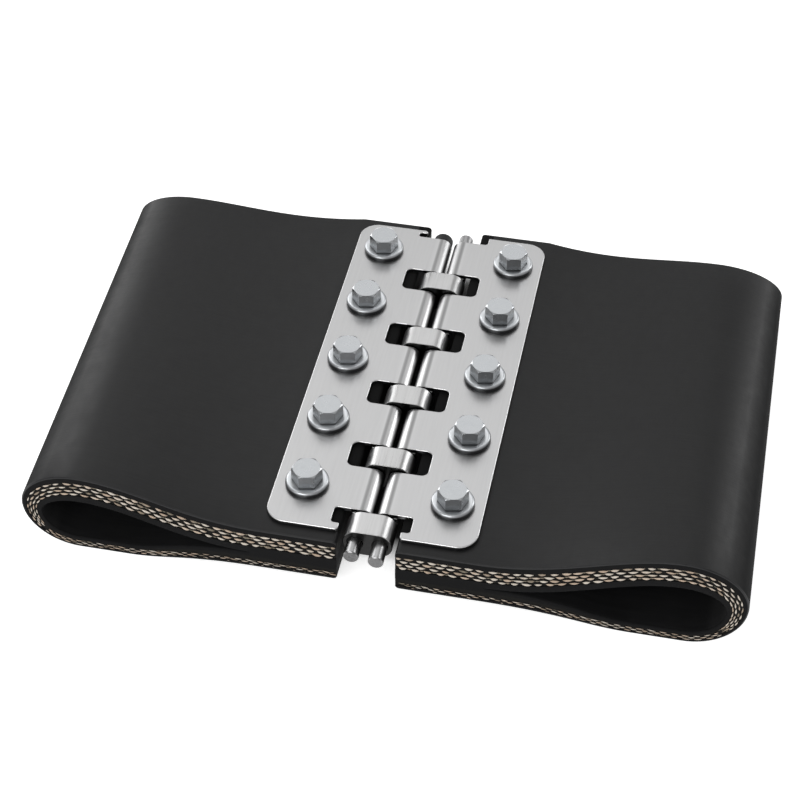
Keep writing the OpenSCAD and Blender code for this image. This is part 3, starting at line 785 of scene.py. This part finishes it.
def yarn_mesh(name, side, face, weave):
    """All yarns of one cut edge: spindles that rise from the core and dip back into it."""
    rng = random.Random(weave.seed + 11 * SIDES.index(side) + 5 * face)
    edge = FRONT_Y if face == 0 else BACK_Y
    out = -1.0 if face == 0 else 1.0
    rounds, steps = YARN_ROUNDS, YARN_STEPS
    verts, faces, lay = [], [], []

    def spindle(p, d, size, height, tone, sink, tilt):
        base = len(verts)
        c, s = math.cos(tilt), math.sin(tilt)
        d = np.array((c * d[0] - s * d[1], s * d[0] + c * d[1]))
        n = np.array((-d[1], d[0]))
        for i in range(steps + 1):
            t = i / steps
            u = 2 * t - 1
            r = max(0.04, 1 - abs(u) ** 1.9) * height / 2
            rise = 0.1 * height * (1 - u * u) - 0.2 * height * u ** 4 - sink
            for j in range(rounds):
                a = 2 * math.pi * j / rounds
                q = p + d * (u * size / 2) + n * (r * math.cos(a))
                y = edge + out * (rise + 0.6 * r * math.sin(a))
                verts.append(in_row(side, q[0], y, q[1]))
                lay.append((t * 6.0, a, tone))
        for i in range(steps):
            for j in range(rounds):
                k = (j + 1) % rounds
                faces.append((base + i * rounds + j, base + i * rounds + k,
                              base + (i + 1) * rounds + k, base + (i + 1) * rounds + j))
        faces.append(tuple(base + j for j in range(rounds))[::-1])
        faces.append(tuple(base + steps * rounds + j for j in range(rounds)))

    top_rows, low_rows = (Run(rows) for rows in yarn_rows(side, face))
    for run, pitch, size, height in ((top_rows, weave.pitch, weave.yarn, weave.thick),
                                     (low_rows, weave.low_pitch, weave.low_yarn, weave.low_thick)):
        low = run is low_rows
        pitch, size, height = pitch / MM, size / MM, height / MM
        for row in range(len(run.rows)):
            s = YARN_FIRST + 0.5 * pitch * (row % 2)
            while s < run.length - 0.5 * size:
                centre = s + rng.uniform(-YARN_SHIFT, YARN_SHIFT)
                far = 1.0 if low else float(np.interp(s / run.length, FADE_AT, FADE))
                tone = rng.choice(YARN_TONES) * (LOW_RUN_SHADE if low else 1.0)
                sink = rng.uniform(*YARN_SINK)
                if rng.random() < DEEP_SHARE:
                    tone, sink = rng.uniform(*DEEP_SHADE_TONE), DEEP_SINK
                reach = 0.5 * size * (0.45 + 0.55 * far) * rng.uniform(0.84, 1.2)
                tall = height * far * rng.uniform(0.84, 1.12)
                start, stop = max(YARN_START, centre - reach), centre + reach
                p, d = run.at(row, 0.5 * (start + stop))
                tilt = SIGN[side] * math.radians(rng.uniform(*YARN_TILT))
                spindle(p, d, stop - start, tall, tone, sink, tilt)
                if rng.random() < UNDER_SHARE:
                    q, e = run.at(row, min(s + 0.5 * pitch, run.length - 0.5))
                    spindle(q, e, 0.5 * size, 0.5 * height * far, rng.uniform(*UNDER_SHADE_TONE), UNDER_SINK, 0.0)
                s += pitch * (0.35 + 0.65 * far)
    data = bpy.data.meshes.new(name)
    data.from_pydata(verts, [], faces)
    kept = data.attributes.new("lay", "FLOAT_VECTOR", "POINT")
    kept.data.foreach_set("vector", np.array(lay, np.float32).ravel())
    mesh = bmesh.new()
    mesh.from_mesh(data)
    bmesh.ops.recalc_face_normals(mesh, faces=mesh.faces)
    for f in mesh.faces:
        f.smooth = True
    mesh.to_mesh(data)
    mesh.free()
    obj = bpy.data.objects.new(name, data)
    bpy.context.scene.collection.objects.link(obj)
    return obj


# Operators

class STRIP_OT_plates(Operator):
    """Brushed steel on the two plates"""

    bl_idname = "strip.plates"
    bl_label = "Plates"

    def execute(self, context):
        metal = context.scene.strip_metal
        skin = brushed_plate(metal)
        for side in SIDES:
            wear(NODES[side + "_plate"], skin)
            soften_edges(NODES[side + "_plate"], metal.plate_edge, clamp=False)
        return {"FINISHED"}


class STRIP_OT_links(Operator):
    """Drawn steel on the links"""

    bl_idname = "strip.links"
    bl_label = "Links"

    def execute(self, context):
        metal = context.scene.strip_metal
        # ends and below: how dark the painted shade is on the end faces and underneath.
        skin = drawn_steel("link_steel", metal.link_tint, metal.link_rough,
                           streak=0.1, ends=0.05, below=0.16)
        for n in sorted(k for k in NODES if k.startswith("link_")):
            wear(NODES[n], skin)
            soften_edges(NODES[n], metal.link_edge)
        return {"FINISHED"}


class STRIP_OT_pins(Operator):
    """Streaky steel on the hinge pins and black plastic on the cap"""

    bl_idname = "strip.pins"
    bl_label = "Pins and cap"

    def execute(self, context):
        metal = context.scene.strip_metal
        # ends and below: how dark the painted shade is on the end faces and underneath.
        skin = drawn_steel("pin_steel", metal.pin_tint, metal.link_rough,
                           streak=0.22, ends=0.36, below=0.2)
        for side in SIDES:
            wear(NODES[side + "_hinge_pin"], skin)
            soften_edges(NODES[side + "_hinge_pin"], metal.pin_edge, 2)
        wear(NODES["left_pin_cap"], moulded_cap(metal))
        soften_edges(NODES["left_pin_cap"], metal.cap_edge, 2)
        return {"FINISHED"}


class STRIP_OT_fasteners(Operator):
    """Zinc plating on bolts, washers and nuts"""

    bl_idname = "strip.fasteners"
    bl_label = "Bolts, washers and nuts"

    def execute(self, context):
        metal = context.scene.strip_metal
        head, ring = plated_bolt(metal), plated_washer(metal)
        for side in SIDES:
            for part, skin in (("bolts", head), ("washers", ring), ("nuts", head)):
                wear(NODES[f"{side}_{part}"], skin)
                hexed = part != "washers"
                soften_edges(NODES[f"{side}_{part}"], metal.bolt_edge, 2, HEX_ANGLE if hexed else RIM_ANGLE,
                             crisp=hexed)
        return {"FINISHED"}


class STRIP_OT_belt(Operator):
    """Folded belt ends: outer cover, woven core and inner cover"""

    bl_idname = "strip.belt"
    bl_label = "Belt ends"

    def execute(self, context):
        belt = context.scene.strip_belt
        skin, cut, core = cover_rubber(belt), cut_rubber(belt), soaked_core()
        # edge: the painted highlight along the cut edges.
        edge = painted_edge_highlight(belt)
        lining = lining_ring(belt)
        for side in SIDES:
            belt_piece(side, "outer_cover", cover_ring(belt), (skin, cut, edge))
            belt_piece(side, "carcass", core_ring(belt), (core, core))
            belt_piece(side, "inner_cover", lining, (skin, cut), bonded(lining))
        return {"FINISHED"}


class STRIP_OT_weave(Operator):
    """Yarns of the core on the cut edges of both belt ends"""

    bl_idname = "strip.weave"
    bl_label = "Weave"

    def execute(self, context):
        weave = context.scene.strip_weave
        skin = twisted_yarn(weave)
        for side in SIDES:
            for face, word in enumerate(("front", "back")):
                obj = yarn_mesh(f"{side}_{word}_yarns", side, face, weave)
                wear(obj, skin)
                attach(obj, BODY[side])
        return {"FINISHED"}


FLOOR_SIZE, SKY_RAYS = 30.0, 12
HINGE_SHADE = (0.012, 0.035)  # metres from the middle of the hinge
FRONT_SHADE = (0.012, 0.026)  # metres behind the front edge of the plates
DEEP_SKY, OPEN_SKY = (0.5, 0.85), (0.01, 0.11)  # share of open sky from which the floor brightens
# PAINTED_FLOOR_SHADOW: how dark the painted shadow makes the floor's colour.
PAINTED_FLOOR_SHADOW = 0.12


def pale_floor(stage):
    """White floor that keeps the part's shadow, with a painted shadow below the hinge and wherever little sky
    reaches it.
    """
    s = Shade("pale_floor", 0.9, gloss=0.0)
    glow = s.node("ShaderNodeEmission")
    glow.inputs["Color"].default_value = (1, 1, 1, 1)
    path = s.node("ShaderNodeLightPath")
    seen = s.join(s.join(path.outputs["Is Camera Ray"], path.outputs["Is Glossy Ray"], "MAXIMUM"),
                  path.outputs["Is Transmission Ray"], "MAXIMUM")
    # Painted shadow: the floor's colour and glow fall where the ambient occlusion finds little open sky; near
    # the hinge and behind the front of the plates it takes more open sky to stay white.
    open_air = s.node("ShaderNodeAmbientOcclusion", samples=SKY_RAYS)
    open_air.inputs["Distance"].default_value = stage.shade
    sky = open_air.outputs["AO"]
    clear_of_hinge_shade = s.spread(s.from_hinge(), 0.0, 1.0, *HINGE_SHADE)
    clear_ahead_of_shade = s.spread(s.split(s.where)[1], 1.0, 0.0, *(PLATE_Y[0] + d for d in FRONT_SHADE))
    free = s.join(clear_of_hinge_shade, clear_ahead_of_shade, "MAXIMUM")
    below = s.spread(sky, 0.0, 1.0, *DEEP_SKY)
    apart = s.join(free, s.spread(sky, 0.0, 1.0, *OPEN_SKY), "MULTIPLY")
    bright = s.join(below, apart, "MAXIMUM")
    paper = s.ramp(s.grain(0.6), (0.3, scaled(stage.floor_tint, 0.995)), (0.7, stage.floor_tint))
    s.colour(s.tinted(paper, s.spread(bright, PAINTED_FLOOR_SHADOW, 1.0, 0.0, 1.0)))
    s.link(s.join(seen, s.spread(bright, 0.0, stage.glow, 0.0, 1.0), "MULTIPLY"), glow.inputs["Strength"])
    both = s.node("ShaderNodeAddShader")
    s.link(s.surface.outputs["BSDF"], both.inputs[0])
    s.link(glow.outputs["Emission"], both.inputs[1])
    s.link(both.outputs["Shader"], s.tree.nodes["Material Output"].inputs["Surface"])
    return s.mat


LIGHT_AIM = (0, 0, 0.03)
SENSOR_WIDTH = 36.0


def soft_box(name, towards, distance, size, radiance):
    """A panel of even light that faces the object."""
    lamp = bpy.data.lights.new(name, "AREA")
    lamp.shape = "RECTANGLE"
    lamp.size, lamp.size_y = size
    lamp.energy = radiance * math.pi * size[0] * size[1]
    obj = bpy.data.objects.new(name, lamp)
    bpy.context.scene.collection.objects.link(obj)
    way = Vector(towards).normalized()
    obj.location = Vector(LIGHT_AIM) + way * distance
    obj.rotation_euler = way.to_track_quat("Z", "Y").to_euler()


def place_camera(stage):
    """The camera of the photograph."""
    lens = bpy.data.cameras.new("camera")
    lens.sensor_width = SENSOR_WIDTH
    lens.lens = stage.lens
    eye = bpy.data.objects.new("camera", lens)
    bpy.context.scene.collection.objects.link(eye)
    a, e, r = stage.azimuth, stage.elevation, stage.roll
    back = Vector((math.sin(a) * math.cos(e), -math.cos(a) * math.cos(e), math.sin(e)))
    right = Vector((math.cos(a), math.sin(a), 0))
    down = right.cross(back)
    turned = right * math.cos(r) + down * math.sin(r)
    up = back.cross(turned)
    eye.matrix_world = Matrix.Translation(stage.eye) @ Matrix((turned, up, back)).transposed().to_4x4()
    return eye


class STRIP_OT_stage(Operator):
    """Floor, soft light and camera"""

    bl_idname = "strip.stage"
    bl_label = "Stage"

    def execute(self, context):
        stage = context.scene.strip_stage
        scene = context.scene
        scene.view_settings.view_transform = "Standard"

        floor = bmesh.new()
        bmesh.ops.create_grid(floor, x_segments=1, y_segments=1, size=FLOOR_SIZE)
        data = bpy.data.meshes.new("floor")
        floor.to_mesh(data)
        floor.free()
        ground = bpy.data.objects.new("floor", data)
        scene.collection.objects.link(ground)
        wear(ground, pale_floor(stage))

        world = bpy.data.worlds.new("room")
        scene.world = world
        world.use_nodes = True
        room = world.node_tree.nodes["Background"]
        room.inputs["Color"].default_value = (1, 1, 1, 1)
        room.inputs["Strength"].default_value = stage.room

        soft_box("top_panel", (-0.2, 0.57, 0.8), 1.4, (1.3, 1.1), stage.top)
        soft_box("left_box", (-0.66, 0.62, 0.42), 1.3, (0.34, 0.9), stage.left)
        soft_box("right_box", (0.62, 0.66, 0.42), 1.3, (0.26, 0.8), stage.right)
        soft_box("front_box", (-0.25, -0.8, 0.62), 1.5, (0.9, 0.6), stage.front)

        scene.camera = place_camera(stage)
        return {"FINISHED"}


class STRIP_PT_panel(Panel):
    """Lists the pieces and their settings"""

    bl_idname = "STRIP_PT_panel"
    bl_label = "Belt fastener strip"
    bl_space_type = "VIEW_3D"
    bl_region_type = "UI"
    bl_category = "Belt Strip"

    def draw(self, context):
        for maker in MAKERS:
            self.layout.operator(maker.bl_idname)
        for word, group in GROUPS.items():
            box = self.layout.box()
            box.label(text=word.title())
            held = getattr(context.scene, "strip_" + word)
            for key in group.__annotations__:
                box.prop(held, key)


GROUPS = {"metal": STRIP_PG_metal, "belt": STRIP_PG_belt, "weave": STRIP_PG_weave, "stage": STRIP_PG_stage}
MAKERS = (STRIP_OT_plates, STRIP_OT_links, STRIP_OT_pins, STRIP_OT_fasteners, STRIP_OT_belt, STRIP_OT_weave,
          STRIP_OT_stage)
CLASSES = (*GROUPS.values(), *MAKERS, STRIP_PT_panel)


def register():
    for kind in CLASSES:
        bpy.utils.register_class(kind)
    for word, group in GROUPS.items():
        setattr(bpy.types.Scene, "strip_" + word, PointerProperty(type=group))


def unregister():
    for word in GROUPS:
        delattr(bpy.types.Scene, "strip_" + word)
    for kind in reversed(CLASSES):
        bpy.utils.unregister_class(kind)


def main():
    """Builds every piece."""
    register()
    for maker in (bpy.ops.strip.plates, bpy.ops.strip.links, bpy.ops.strip.pins, bpy.ops.strip.fasteners,
                  bpy.ops.strip.belt, bpy.ops.strip.weave, bpy.ops.strip.stage):
        maker()
    bpy.context.view_layer.update()


if __name__ == "__main__":
    main()
